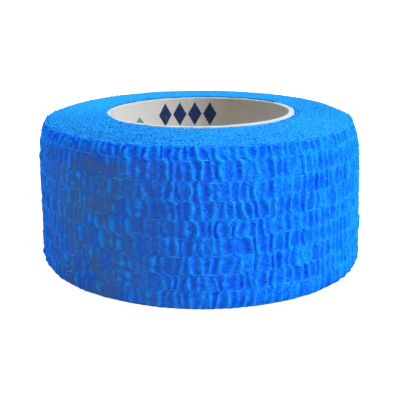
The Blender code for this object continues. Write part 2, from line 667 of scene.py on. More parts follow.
            # Where the cloth is calm, a pucker is a lens that dies away towards the yarns.
            held = self.pinch + (1 - self.pinch) * swell
            lens = self.lens_foot + (1 - self.lens_foot) * swell ** self.lens_power
            calm = np.clip(self.calm * self.calm_gain, 0, 1) * self.lens_rows[row]
            line.ridge += weight * self.height[row] * (held + (lens - held) * calm)
            opened = self.open[row] + (1 - self.open[row]) * swell ** self.hollow_rise
            line.depth += weight * self.depth[row] * opened
            line.middle += weight * self.middle[row] * swell
            line.closed += weight * (1 - swell)
        return line

    def station(self, along: float) -> tuple[np.ndarray, np.ndarray, np.ndarray]:
        """Works out the puckers along one line round the roll.

        Args:
            along: height along the strip's face.

        Returns:
            The sideways place of every column, in ridges; its height off the roll's side; and its place
            between a hollow, at 0, and a ridge, at 1.
        """
        line = self.line_at(along)
        up = (along - self.stops[0]) / (self.stops[-1] - self.stops[0])
        side = self.spaced(line.side + self.wandering * self.wander.at(self.turn, up))
        steady, calmed = self.fade
        ridge = line.ridge * (1 + (steady + calmed * self.calm) * self.fading.at(self.turn, up))
        ridge, width = np.append(ridge, ridge[-1]), np.append(line.width, line.width[-1])
        cell = np.append(np.repeat(np.arange(self.ridges), len(self.cuts)), self.ridges - 1)
        cut = np.append(np.tile(np.array(self.cuts), self.ridges), 1.0)
        sideways = cell + cut + side[cell] * (1 - cut) + side[cell + 1] * cut
        crest = bell(cut, width[cell]) * ridge[cell]
        crest += bell(1 - cut, width[cell + 1]) * ridge[cell + 1]
        crest += line.middle[cell] * bell(cut - 0.5, self.middle_width)
        hollow = line.depth[cell] * np.sin(math.pi * cut) ** self.hollow_power
        groove = self.form.yarn_depth * self.groove * line.closed
        lump = self.lump * self.lumps.at(sideways / self.ridges, up)
        rough = self.random.normal(0, self.roughness, len(cell))
        off = crest - hollow - groove + lump + rough - self.inset
        base = self.tone_base + self.tone_yarn * line.closed
        # Painted shade: the tone is lowered in the calm places, most on the front left, under the top edge.
        base = base - self.calm_painted_shade * self.calm[cell] * smooth_ramp(along, *self.calm_shade_heights)
        # The tone follows the height, so lower places take the hollows' darker colour: partly the cloth's own,
        # partly painted shade.
        tone = np.clip((crest - hollow + lump * self.tone_lump + base) / self.tone_range, 0, 1)
        return sideways, off, tone

    def spaced(self, side: np.ndarray) -> np.ndarray:
        """Moves ridges apart that come too near to each other, and squares them up at the cut ends.

        Args:
            side: sideways shift of every ridge.

        Returns:
            The new shifts, with one more for the line's end.
        """
        number = np.arange(self.ridges + 1)
        side = np.append(side, 0.0) * np.clip(np.minimum(number, number[::-1]) / self.square_ridges, 0, 1)
        for _ in range(self.spacing_rounds):
            short = np.clip(self.nearest - (1 + np.diff(side)), 0, None) / 2
            side[1:-1] += short[:-1] - short[1:]
        return side


# ---------------------------------------------------------------- the outer turn


@dataclass(frozen=True)
class SectionPoint:
    """One point of a strip's section.

    Attributes:
        radius: distance from the axis.
        height: height above the foot.
        along: height along the strip's face, which goes on round the foot and the top edge.
        out: direction of the face there, as radius and height.
        pucker: how much of the puckers reaches this point.
    """

    radius: float
    height: float
    along: float
    out: tuple[float, float] = (1, 0)
    pucker: float = 1


@dataclass
class OuterTurn:
    """The strip's outer turn, from its start at the cut end's foot to the cut end itself.

    Attributes:
        form: the roll's main form.
        crinkle: the puckers on it.
        row_cuts: shares of the way from one yarn to the next at which the mesh has a line.
        edge_turns: points over the top edge: a height and an inset, in roundings, and the puckers' share.
        edge_out: direction of the face there.
        inner_ends: how far the inner face's ends lie under the top edge, and over the foot's rounding.
        foot_lip: the foot's inner end: a share of its inner radius, and a height.
        foot_steps: lines round the foot's rounding.
        foot_pucker: angle below level, in radians, at which the foot's puckers are full.
        pucker_gain: how soon columns follow the puckers sideways where these set in.
        end_waves: waves of the cut end's line: their number, and how strong they are.
        end_seed: seed of those waves.
        end_wobble: how far the cut end strays from a straight line.
        end_reach: width of the cloth that strays with it, in turns.
        end_tone: tone of the cut end.
        painted_shade: painted shade on the front left: where the hollows take the painted shade colour, and
            the cloth shows less of its pits and its speckle.
        painted_shade_heights: heights between which that sets in, from the top edge down.
        edge_tone: least tone of the top edge.
        dull_edge: where the top edge is duller than that, so that the painted shade of the calm place on the
        front left reaches it.
    """

    form: WoundForm
    crinkle: Crinkle
    row_cuts: tuple[float, ...] = (0.0, 0.06, 0.15, 0.27, 0.4, 0.52, 0.64, 0.76, 0.87, 0.94)
    edge_turns: tuple[tuple[float, float, float], ...] = (
        (0.75, 0.3, 0.9), (1.0, 0.8, 0.7), (1.0, 1.4, 0.5), (0.4, 1.9, 0.1),
    )
    edge_out: tuple[float, float] = (0.5, 0.9)
    inner_ends: tuple[float, float] = (1.2 * MM, 0.4 * MM)
    foot_lip: tuple[float, float] = (0.3, 0.45 * MM)
    foot_steps: int = 7
    foot_pucker: float = 0.1
    pucker_gain: float = 1.5
    end_waves: tuple[tuple[int, float], ...] = ((7, 1.0), (34, 0.6))
    end_seed: int = 17
    end_wobble: float = 0.32 * MM
    end_reach: float = 0.012
    end_tone: float = 0.95
    painted_shade: Patch = Patch(0.315, 0.09, 0.95)
    painted_shade_heights: tuple[float, float] = (24 * MM, 20.5 * MM)
    edge_tone: float = 0.62
    dull_edge: Patch = Patch(0.27, 0.14, 0.52)

    def radius_at(self, height: float) -> float:
        """Radius of the roll's side at a height."""
        return float(self.form.side_radius(height))

    def section(self) -> list[SectionPoint]:
        """The closed section: up the side, over the top edge, down the inner face and round the foot."""
        return [*self.side_points(), *self.edge_points(), *self.inner_points(), *self.foot_points()]

    def side_points(self) -> list[SectionPoint]:
        """Works out the side, with more points near the yarns.

        Returns:
            Its points, from the foot's rounding to the top edge's.
        """
        form = self.form
        top = form.edge_height - form.edge_round
        stops = (form.foot_round, *form.yarn_heights, top)
        heights = [low + (high - low) * cut for low, high in zip(stops, stops[1:]) for cut in self.row_cuts]
        return [SectionPoint(self.radius_at(height), height, height) for height in (*heights, top)]

    def edge_points(self) -> list[SectionPoint]:
        """Works out the top edge.

        Returns:
            Its points, from outside to inside.
        """
        rounding = self.form.edge_round
        top = self.form.edge_height - rounding
        edge = self.radius_at(top)
        points = []
        for lift, inset, pucker in self.edge_turns:
            inward, upward = inset * rounding, lift * rounding
            along = top + upward + inward
            points.append(SectionPoint(edge - inward, top + upward, along, self.edge_out, pucker))
        return points

    def inner_points(self) -> list[SectionPoint]:
        """Works out the inner face, which has no puckers.

        Returns:
            Its points, from top to foot.
        """
        form = self.form
        under_top, over_foot = self.inner_ends
        heights = (form.edge_height - under_top, form.strip_width / 2, form.foot_round + over_foot)
        return [
            SectionPoint(self.radius_at(height) - form.cloth, height, height, pucker=0)
            for height in heights
        ]

    def foot_points(self) -> list[SectionPoint]:
        """Works out the foot.

        Returns:
            Its points, from its inner end round its rounding.
        """
        form = self.form
        centre = self.radius_at(form.foot_round) - form.foot_round
        lip_share, lip_height = self.foot_lip
        lip = centre + lip_share * (form.foot_round - form.cloth)
        points = [SectionPoint(lip, lip_height, 0.0, pucker=0)]
        for step in range(self.foot_steps):
            angle = -math.pi / 2 * (1 - step / self.foot_steps)
            out = (math.cos(angle), math.sin(angle))
            points.append(SectionPoint(
                centre + form.foot_round * out[0], form.foot_round * (1 + out[1]),
                form.foot_round * (1 + angle), out, smooth_ramp(-angle, math.pi / 2, self.foot_pucker),
            ))
        return points

    def build(self) -> bpy.types.Mesh:
        """Makes the outer turn's mesh.

        Returns:
            The mesh.
        """
        section = self.section()
        columns = self.crinkle.ridges * len(self.crinkle.cuts) + 1
        places = np.zeros((columns, len(section), 3))
        tones, unshaded_details = np.zeros((2, columns, len(section)))
        even = np.arange(columns) / (columns - 1)
        near_end = bell(even, self.end_reach) + bell(1 - even, self.end_reach)
        for number, point in enumerate(section):
            sideways, off, tone = self.crinkle.station(point.along)
            follow = min(1.0, point.pucker * self.pucker_gain)
            turn = even + (sideways / self.crinkle.ridges - even) * follow
            turn = turn + near_end * self.stray(point.height)
            radius = point.radius + off * point.pucker * point.out[0]
            height = point.height + np.maximum(off * point.pucker * point.out[1], -point.height)
            places[:, number] = self.form.place(radius, height, turn)
            # The top edge keeps a pale tone, save on the front left, where the painted shade reaches it.
            least = self.edge_tone - self.dull_edge.at(turn) if point.out[1] > 0 else 0
            tones[:, number] = np.maximum(tone, least) if point.pucker else 0
            tones[-2:, number] = self.end_tone
            # Painted shade on the front left: there the hollows take the painted shade colour and show fewer
            # pits and less speckle.
            unshaded_details[:, number] = 1 - smooth_ramp(point.height, *self.painted_shade_heights) * self.painted_shade.at(turn)
        return wrapped_strip("outer_turn", places, {"tone": tones, "unshaded_detail": unshaded_details})

    def stray(self, height: float) -> float:
        """Works out how far the cut end strays from a straight line.

        Args:
            height: height above the foot.

        Returns:
            The distance, in turns.
        """
        up = height / self.form.strip_width
        waves = sum(
            strength * Unevenness(self.end_seed + number, 1, count).at(0.0, up)
            for number, (count, strength) in enumerate(self.end_waves)
        )
        return float(waves) * self.end_wobble / (FULL_TURN * self.form.roll_radius)


# ---------------------------------------------------------------- the turns under it


@dataclass
class WoundTurns:
    """The strip under its outer turn: one spiral of turns, whose edges show on both end faces.

    Attributes:
        form: the roll's main form.
        seed: seed of the random draws.
        steps: columns in a turn.
        gap: share of the spiral's pitch that is left between two turns.
        core_gap: gap between the core and the spiral.
        clearance: gap between the spiral and the outer turn.
        foot_radius: outer radius of the spiral at the foot.
        top_edge: the section's points over the top edge, as a share of the turn's thickness, a height
        under the edge, and a tone; the tone is darker on the rounded shoulders that dip into the gaps
        between turns, as painted shade.
        foot_edge: the same under the foot, with a height above it.
        ruffle: sideways waviness of the turns' edges.
        ruffle_count: number of its waves in a turn.
        foot_ruffle: how much of it reaches the foot.
        held_ruffle: share of the waviness that the spiral's innermost and outermost faces keep.
        raggedness: how far the innermost edge stands off the core, or over it.
        rag_count: number of its waves in a turn.
        lift: unevenness of the edges' height.
        lift_counts: number of its slow and its fine waves in a turn.
        lift_shares: how strong each of them is.
        foot_lift: how much of the unevenness reaches the foot.
        sink: how far the innermost turn's edge lies under the others.
        sink_angle: angle at which it lies lowest.
        sink_turns: turns from the core over which it dies away.
        sink_cosine: level and swing of the sinking round the roll.
        crevice_shade_tone: height taken off the sunken edge for the tone: painted shade of the crevice beside
        the core, at the front.
        tone_lift: unevenness that leads from a dark tone to a pale one, so that lower places are darker:
        painted shade.
        least_wear: least wear round the roll, which the edges have at the back.
        wear_cosine: level and swing of the wear round the roll.
    """

    form: WoundForm
    seed: int = 29
    steps: int = 560
    gap: float = 0.03
    core_gap: float = 0.12 * MM
    clearance: float = 0.03 * MM
    foot_radius: float = 25.45 * MM
    top_edge: tuple[tuple[float, float, float], ...] = (
        (0.02, 0.09 * MM, 0.5), (0.16, 0.02 * MM, 0.8), (0.5, 0.0, 1.0), (0.84, 0.02 * MM, 0.8),
        (0.98, 0.09 * MM, 0.5),
    )
    foot_edge: tuple[tuple[float, float, float], ...] = (
        (0.96, 0.25 * MM, 0.3), (0.5, 0.0, 1.0), (0.04, 0.25 * MM, 0.3),
    )
    ruffle: float = 0.12 * MM
    ruffle_count: int = 108
    foot_ruffle: float = 0.5
    held_ruffle: float = 0.35
    raggedness: float = 0.24 * MM
    rag_count: int = 130
    lift: float = 0.08 * MM
    lift_counts: tuple[int, int] = (150, 560)
    lift_shares: tuple[float, float] = (0.5, 1.0)
    foot_lift: float = 0.6
    sink: float = 0.10 * MM
    sink_angle: float = math.radians(-75)
    sink_turns: float = 1.9
    sink_cosine: tuple[float, float] = (0.35, 0.9)
    crevice_shade_tone: float = 0.15 * MM
    tone_lift: float = 0.12 * MM
    least_wear: float = 0.5
    wear_cosine: tuple[float, float] = (0.5, 0.75)

    def build(self) -> bpy.types.Mesh:
        """Makes the spiral's mesh.

        Returns:
            The mesh.
        """
        form = self.form
        bands = form.turns + 1
        waves = Unevenness(self.seed, self.ruffle_count, bands)
        rag = Unevenness(self.seed + 3, self.rag_count, 2)
        lifts = [Unevenness(self.seed + 1 + i, count, bands * 2) for i, count in enumerate(self.lift_counts)]
        wound = np.arange(form.turns * self.steps + 1) / self.steps
        turn, layer = wound % 1.0, np.floor(wound)
        # The last column closes the last turn, and doesn't start another.
        turn[-1], layer[-1] = 1.0, form.turns - 1
        facing = np.cos(form.cut_end_angle + FULL_TURN * turn - self.sink_angle)
        sunk = np.clip(self.sink_cosine[0] + self.sink_cosine[1] * facing, 0, 1)
        fresh = smooth_step(self.wear_cosine[0] + self.wear_cosine[1] * facing)
        unshaded_detail = self.least_wear + (1 - self.least_wear) * fresh
        inner = form.core_radius + self.core_gap
        outer_top = form.side_radius(form.edge_height - form.edge_round) - form.cloth - self.clearance
        places, tones = [], []
        edges = [(True, *row) for row in self.top_edge] + [(False, *row) for row in self.foot_edge]
        for on_top, across, below, tone in edges:
            ply = layer + self.gap / 2 + across * (1 - self.gap)
            share = (ply + turn) / bands
            outer = outer_top if on_top else self.foot_radius - self.clearance
            radius = inner + (outer - inner) * ply / form.turns
            wave = self.ruffle * waves.at(turn, share) * (1.0 if on_top else self.foot_ruffle)
            free = np.clip(np.minimum(ply, form.turns - ply) + self.held_ruffle, 0, 1)
            ragged = self.raggedness * rag.at(turn, 0.0) * np.clip(1 - ply, 0, 1)
            radius = radius + wave * free + ragged
            slow, fine = (part * lift.at(turn, share) for part, lift in zip(self.lift_shares, lifts))
            rough = self.lift * (slow + fine)
            if on_top:
                low = np.clip(self.sink_turns - ply, 0, 1) * sunk
                height = form.crown_height(radius) - below * unshaded_detail + rough * unshaded_detail - self.sink * low
                # Painted shade: the sunken innermost edge gets a darker tone, as the crevice beside the core.
                rough = rough - self.crevice_shade_tone * low
            else:
                height = below + np.abs(rough) * self.foot_lift
            places.append(self.wind(radius, height, turn, ply))
            # Lower places, such as the shoulders, get a darker tone: painted shade.
            tones.append(np.clip(1 - (1 - tone) * unshaded_detail + rough / self.tone_lift * unshaded_detail, 0, 1))
        marks = {"tone": np.stack(tones, axis=1), "unshaded_detail": np.repeat(unshaded_detail[:, None], len(edges), axis=1)}
        return wrapped_strip("wound_turns", np.stack(places, axis=1), marks)

    def wind(self, radius: np.ndarray, height: np.ndarray, turn: np.ndarray, ply: np.ndarray) -> np.ndarray:
        """Winds points of the spiral, each turn starting where the one under it ends.

        Args:
            radius: distance from the axis, before the winding.
            height: height above the foot.
            turn: share of the turn.
            ply: number of turns between the core and the point.

        Returns:
            The places, with a last axis of 3.
        """
        form = self.form
        pitch = (form.edge_radius - form.cloth - form.core_radius) / form.turns
        outward = np.clip((radius - form.loose_from) / (form.edge_radius - form.loose_from), 0, 1)
        # The outer turns already grow with the angle, so only the inner ones get the spiral's own growth.
        radius = radius + pitch * (turn - 0.5) * (1 - outward) * np.clip(ply, 0, 1)
        return form.place(radius, height, turn)


# ---------------------------------------------------------------- yarns and fibres


@dataclass
class ElasticYarns:
    """The elastic yarns that draw the cloth in, seen between the ridges.

    Attributes:
        form: the roll's main form.
        seed: seed of the random draws.
        radius: radius of a yarn.
        depth: how far under the roll's side a yarn lies.
        play: how far it comes out and goes in, and how often in a turn.
        sway: how far it goes up and down, and how often in a turn.
        steps: points in a turn.
    """

    form: WoundForm
    seed: int = 5
    radius: float = 0.055 * MM
    depth: float = 0.17 * MM
    play: tuple[float, int] = (0.13 * MM, 60)
    sway: tuple[float, int] = (0.09 * MM, 90)
    steps: int = 520

    def build(self) -> bpy.types.Mesh:
        """Makes all yarns as one mesh.

        Returns:
            The mesh.
        """
        form = self.form
        count = len(form.yarn_heights)
        play = Unevenness(self.seed, self.play[1], count)
        sway = Unevenness(self.seed + 1, self.sway[1], count)
        turn = np.linspace(0, 1, self.steps + 1)
        lines = []
        for number, height in enumerate(form.yarn_heights):
            share = number / (count - 1)
            radius = form.side_radius(height) - self.depth + self.play[0] * play.at(turn, share)
            level = height + self.sway[0] * sway.at(turn, share)
            lines.append(form.place(radius, level, turn))
        return threads("elastic_yarns", lines, self.radius)


class FibreKind(Enum):
    """How a loose fibre lies on the cloth."""

    LOOP = "loop"
    STRAY = "stray"


@dataclass(frozen=True)
class FibreBand:
    """A band of the roll where loose fibres show.

    Attributes:
        kind: how its fibres lie.
        count: number of fibres.
        heights: heights that they grow from, or none for the top face.
        spread: how far from those heights they stray.
        length: length of a fibre.
        at_end: whether they grow along the cut end, and not all round.
    """

    kind: FibreKind
    count: int
    heights: tuple[float, ...]
    spread: float
    length: float
    at_end: bool = False


@dataclass
class LooseFibres:
    """Fibres that stand out of the cloth at the yarns, the top edge, the top face and the cut end.

    Attributes:
        form: the roll's main form.
        seed: seed of the random draws.
        radius: radius of a fibre.
        points: points along a fibre.
        lengths: range of the lengths, as shares of the band's.
        headings: how far fibres turn off the way round the roll, in radians.
        lifts: range of how far they stand out, as shares of their length.
        bends: how far they bend, as a share of their length.
        curl: how late a stray fibre lifts off the cloth.
        rooted: how deep they start in the cloth.
        end_zone: width of the cloth at the cut end that they grow from, in turns.
        lowest: least height of those at the cut end.
        top_lift: how much of their lift is left on the top face.
    """

    form: WoundForm
    seed: int = 41
    radius: float = 0.028 * MM
    points: int = 5
    lengths: tuple[float, float] = (0.5, 1.3)
    headings: float = 0.9
    lifts: tuple[float, float] = (0.12, 0.4)
    bends: float = 0.35
    curl: float = 1.5
    rooted: float = 0.02 * MM
    end_zone: float = 0.003
    lowest: float = 0.3 * MM
    top_lift: float = 0.5

    def bands(self) -> tuple[FibreBand, ...]:
        """Lists the bands, and what grows in each.

        Returns:
            The bands.
        """
        yarns, edge = self.form.yarn_heights, (self.form.edge_height - 0.1 * MM,)
        return (
            FibreBand(FibreKind.LOOP, 800, yarns, 0.16 * MM, 0.75 * MM),
            FibreBand(FibreKind.LOOP, 240, edge, 0.14 * MM, 0.6 * MM),
            FibreBand(FibreKind.STRAY, 520, edge, 0.18 * MM, 0.4 * MM),
            FibreBand(FibreKind.STRAY, 220, yarns, 0.6 * MM, 0.6 * MM),
            FibreBand(FibreKind.LOOP, 700, (), 0, 0.6 * MM),
            FibreBand(FibreKind.STRAY, 150, yarns, 1.7 * MM, 0.5 * MM, at_end=True),
        )

    def build(self) -> bpy.types.Mesh:
        """Makes all loose fibres as one mesh.

        Returns:
            The mesh.
        """
        random = np.random.default_rng(self.seed)
        lines = [line for band in self.bands() for line in self.band_lines(band, random)]
        return threads("loose_fibres", lines, self.radius)

    def band_lines(self, band: FibreBand, random: np.random.Generator) -> list[np.ndarray]:
        """Works out the lines of one band's fibres.

        Args:
            band: the band.
            random: source of the random draws.

        Returns:
            One array of points for each fibre.
        """
        form, count = self.form, band.count
        turn = random.random(count) * (-self.end_zone if band.at_end else 1)
        length = band.length * random.uniform(*self.lengths, count)
        heading = random.uniform(-self.headings, self.headings, count)
        heading = heading + np.where(random.random(count) < 0.5, 0, math.pi)
        lift = length * random.uniform(*self.lifts, count)
        bend = random.uniform(-self.bends, self.bends, count) * length
        share = np.linspace(0, 1, self.points)
        if band.heights:
            level = np.array(band.heights)[random.integers(0, len(band.heights), count)]
            level = level + random.normal(0, band.spread, count)
            ground = form.side_radius(level) - self.rooted
        else:
            ground = np.sqrt(random.uniform(form.core_radius ** 2, form.edge_radius ** 2, count))
            level = form.crown_height(ground)
        standing = np.sin(math.pi * share) if band.kind is FibreKind.LOOP else share ** self.curl
        lines = []
        for i in range(count):
            forward = length[i] * share * math.cos(heading[i]) + bend[i] * math.sin(heading[i]) * share ** 2
            across = length[i] * share * math.sin(heading[i]) + bend[i] * math.cos(heading[i]) * share ** 2
            rise = lift[i] * standing
            around = turn[i] + forward / (FULL_TURN * ground[i])
            out, up = (rise, across) if band.heights else (across, rise * self.top_lift)
            height = level[i] + up
            if band.at_end:
                height, around = np.clip(height, self.lowest, form.edge_height), 1 + around
            else:
                around = np.clip(around, 0, 1)
            lines.append(form.place(ground[i] + out, height, around))
        return lines


# ---------------------------------------------------------------- the paper core


@dataclass
class PaperCore:
    """The tube of paper board that the strip is wound on.

    Attributes:
        radius: outer radius.
        height: length of the tube.
        wall: thickness of the board.
        plies: number of plies that show on the rim.
        ply_flat: shares of a ply's width between which the rim is flat.
        ply_groove: depth of the groove between two plies.
        rim_round: rounding of the rim.
        rim_inside: points of the rim's inner rounding: a share of the wall, and a depth in roundings.
        rim_outside: the same of its outer rounding.
        rim_rough: unevenness of the rim.
        foot_rough: unevenness of the lower rim.
        rough_grid: number of values of the rims' unevenness, round the tube and across the wall.
        dent: unevenness of the wall.
        dent_grid: number of its values round the tube and up it.
        inside_ends: how far from the rims the inside's own lines begin, in roundings.
        still_share: share of the height, round its middle, that stays where it is when the rim is skewed.
        skew: how far the rim's highest and lowest places stand off its middle level.
        skew_drop: how far that level lies under the cloth's edges.
        skew_angle: angle of the rim's highest place.
        lap_wall: share of the wall, from inside, that the lining's lapped joint takes part in.
        lap_step: height of the joint's step.
        lap_angle: angle of the joint at the foot.
        lap_twist: how far it turns on its way up.
        lap_reach: width of the step, in radians.
        levels: lines up the inside.
        steps: columns round the tube.
        seed: seed of the random draws.
    """

    radius: float
    height: float
    wall: float = 1.0 * MM
    plies: int = 3
    ply_flat: tuple[float, float] = (0.3, 0.8)
    ply_groove: float = 0.035 * MM
    rim_round: float = 0.12 * MM
    rim_inside: tuple[tuple[float, float], ...] = ((0.0, 1.2), (0.06, 0.35))
    rim_outside: tuple[tuple[float, float], ...] = ((0.95, 0.4), (1.0, 1.3))
    rim_rough: float = 0.035 * MM
    foot_rough: float = 0.02 * MM
    rough_grid: tuple[int, int] = (96, 12)
    dent: float = 0.05 * MM
    dent_grid: tuple[int, int] = (9, 3)
    inside_ends: float = 3
    still_share: float = 0.9
    skew: float = 0.17 * MM
    skew_drop: float = 0.10 * MM
    skew_angle: float = math.radians(-50)
    lap_wall: float = 0.2
    lap_step: float = 0.07 * MM
    lap_angle: float = math.radians(62)
    lap_twist: float = math.radians(34)
    lap_reach: float = 0.05
    levels: int = 18
    steps: int = 288
    seed: int = 17

    def rim(self) -> list[tuple[float, float]]:
        """Works out the rim's section.

        Returns:
            Its points from inside to outside, as a share of the wall and a depth under the rim.
        """
        points = []
        for ply in range(self.plies):
            points += [((ply + share) / self.plies, 0.0) for share in self.ply_flat]
            points.append(((ply + 1) / self.plies, self.ply_groove))
        points.pop()
        inside, outside = (
            [(share, self.rim_round * depth) for share, depth in rounding]
            for rounding in (self.rim_inside, self.rim_outside)
        )
        return inside + points + outside

    def build(self) -> bpy.types.Mesh:
        """Makes the tube's mesh.

        Returns:
            The mesh.
        """
        inner, middle = self.radius - self.wall, self.height / 2
        rim = self.rim()
        section = [(inner + share * self.wall, self.height - depth, share) for share, depth in rim]
        section += [(inner + share * self.wall, depth, share) for share, depth in reversed(rim)]
        low = self.rim_round * self.inside_ends
        way_up = self.height - 2 * low
        section += [(inner, low + way_up * i / self.levels, 0.0) for i in range(self.levels + 1)]
        angle = np.arange(self.steps) / self.steps * FULL_TURN
        turn = angle / FULL_TURN
        uneven = Unevenness(self.seed, *self.rough_grid)
        dents = Unevenness(self.seed + 1, *self.dent_grid)
        places = np.zeros((self.steps, len(section), 3))
        marks = np.zeros((self.steps, len(section)))
        for number, (radius, height, share) in enumerate(section):
            up = height / self.height
            rough = uneven.at(turn, share)
            if height > middle:
                lift = self.rim_rough * rough + self.rim_level(angle) - self.height
            else:
                lift = self.foot_rough * (rough + 1)
            on_rim = share > 0 or abs(height - middle) > middle * self.still_share
            around = radius + self.dent * dents.at(turn, up)
            if share < self.lap_wall:
                around = around + self.lap(angle, up)
            places[:, number] = around_axis(around, angle, height + lift * on_rim)
            marks[:, number] = 1.0 if share == 0.0 else 0.0
        return wrapped_strip("paper_core", places, {"lining": marks}, ring=True)

    def rim_level(self, angle: np.ndarray) -> np.ndarray:
        """Height of the rim at an angle."""
        return self.height + self.skew * np.cos(angle - self.skew_angle) - self.skew_drop

    def lap(self, angle: np.ndarray, up: float) -> np.ndarray:
        """Step of the lining's lapped joint, which runs down the tube at a slant."""
        past = (angle - self.lap_angle - self.lap_twist * up) % FULL_TURN
        return self.lap_step * (past / FULL_TURN - 1) * smooth_step(past / self.lap_reach)


@dataclass
class RimOverlap:
    """The innermost turn's edge, pressed over the core's rim at the back and on the left.

    Attributes:
        core: the paper core.
        least: width of the overlap where it is narrowest.
        most: how much wider it is where it is widest.
        angle: angle at which it is widest.
        cosine: level and swing of its width round the roll.
        fray: how uneven its inner side is, in shares of its width: slowly, and from point to point.
        thickness: thickness of the edge on the rim.
        step: how far its underside stands off the rim, and is set back from its inner side.
        side_height: height of its foremost point, as a share of the thickness.
        corner: how far its upper corner is set back from that point.
        crown: how far its top rises behind that corner.
        crown_share: share of its reach at which the top is highest.
        shoulder: how far past the core its top goes on level.
        fuzz: unevenness of its top.
        fray_count: number of the slow fraying's waves in a turn.
        root: how far it reaches out under the turns' edges.
        root_drop: how far its top falls there.
        root_depth: how far down it reaches there.
        root_gap: how far it stands off the core there.
        top_drop: greatest depth of its top under the tube's full height.
        bare_below: width of overlap below which it doesn't cover the rim.
        dip: how far it lies down beside the rim where it doesn't cover it.
        tones: tones of its section's points: darker down its inner side and on its root, paler over its top,
        as painted shade of its sides.
        tone_fuzz: how far they vary.
        steps: columns round the core.
        seed: seed of the random draws.
    """

    core: PaperCore
    least: float = 0.02 * MM
    most: float = 0.88 * MM
    angle: float = math.radians(122)
    cosine: tuple[float, float] = (0.25, 0.75)
    fray: tuple[float, float] = (0.14, 0.05)
    thickness: float = 0.17 * MM
    step: float = 0.05 * MM
    side_height: float = 0.4
    corner: float = 0.08 * MM
    crown: float = 0.02 * MM
    crown_share: float = 0.4
    shoulder: float = 0.15 * MM
    fuzz: float = 0.02 * MM
    fray_count: int = 150
    root: float = 0.55 * MM
    root_drop: float = 0.10 * MM
    root_depth: float = 0.3 * MM
    root_gap: float = 0.02 * MM
    top_drop: float = 0.10 * MM
    bare_below: float = 0.3 * MM
    dip: float = 0.6 * MM
    tones: tuple[float, ...] = (0.2, 0.3, 0.6, 0.8, 0.8, 0.6, 0.3, 0.2)
    tone_fuzz: float = 0.35
    steps: int = 640
    seed: int = 53

    def build(self) -> bpy.types.Mesh:
        """Makes the edge as a flat ring with a frayed inner side.

        Returns:
            The mesh.
        """
        core = self.core
        turn = np.arange(self.steps) / self.steps
        angle = turn * FULL_TURN
        waves = Unevenness(self.seed, self.fray_count, 2).at(turn, 0.0)
        sideways, upward = np.random.default_rng(self.seed + 1).uniform(-1, 1, (self.steps, 2)).T
        level_share, swing = self.cosine
        reach = self.least + self.most * np.clip(level_share + swing * np.cos(angle - self.angle), 0, 1)
        reach = reach * (1 + self.fray[0] * waves + self.fray[1] * sideways)
        level = core.rim_level(angle) + self.step
        top = np.maximum(level + self.thickness, core.height - self.top_drop) + self.fuzz * upward
        bare = self.dip * (1 - smooth_step(reach / self.bare_below))
        places = self.section(reach, level - bare, top - bare)
        # Painted shade: the edge's inner side and root are darker than its top.
        tones = [np.clip(tone + self.tone_fuzz * sideways, 0, 1) for tone in self.tones]
        marks = {"tone": np.stack(tones, axis=1), "unshaded_detail": np.ones((self.steps, len(places)))}
        points = [around_axis(radius, angle, height) for radius, height in places]
        return wrapped_strip("rim_overlap", np.stack(points, axis=1), marks, ring=True)

    def section(
        self, reach: np.ndarray, level: np.ndarray, top: np.ndarray
    ) -> tuple[tuple[Numbers, np.ndarray], ...]:
        """Works out the edge's section, from its inner foot over its top to its root.

        Args:
            reach: how far it reaches over the rim, at every column.
            level: height of its underside.
            top: height of its top.

        Returns:
            For each point, its distance from the axis and its height.
        """
        rim, inner = self.core.radius, self.core.radius - reach
        foot = level - self.root_depth
        return (
            (inner + self.step, level),
            (inner, level + self.side_height * self.thickness),
            (inner + self.corner, top - self.crown),
            (rim - self.crown_share * reach, top + self.crown),
            (rim + self.shoulder, top),
            (rim + self.root, top - self.root_drop),
            (rim + self.root, foot),
            (rim + self.root_gap, foot),
        )


# ---------------------------------------------------------------- finishes


@dataclass(frozen=True)
class Grain:
    """One noise of a finish.

    Attributes:
        scale: how fine it is, in grains per metre.
        detail: how rough its grains' outlines are.
        upright: its scale along the height, as a share of the scale across: the smaller, the taller its
            grains.
        strength: how strongly it shows.
    """

    scale: float
    detail: float = 2.0
    upright: float = 1.0
    strength: float = 1.0


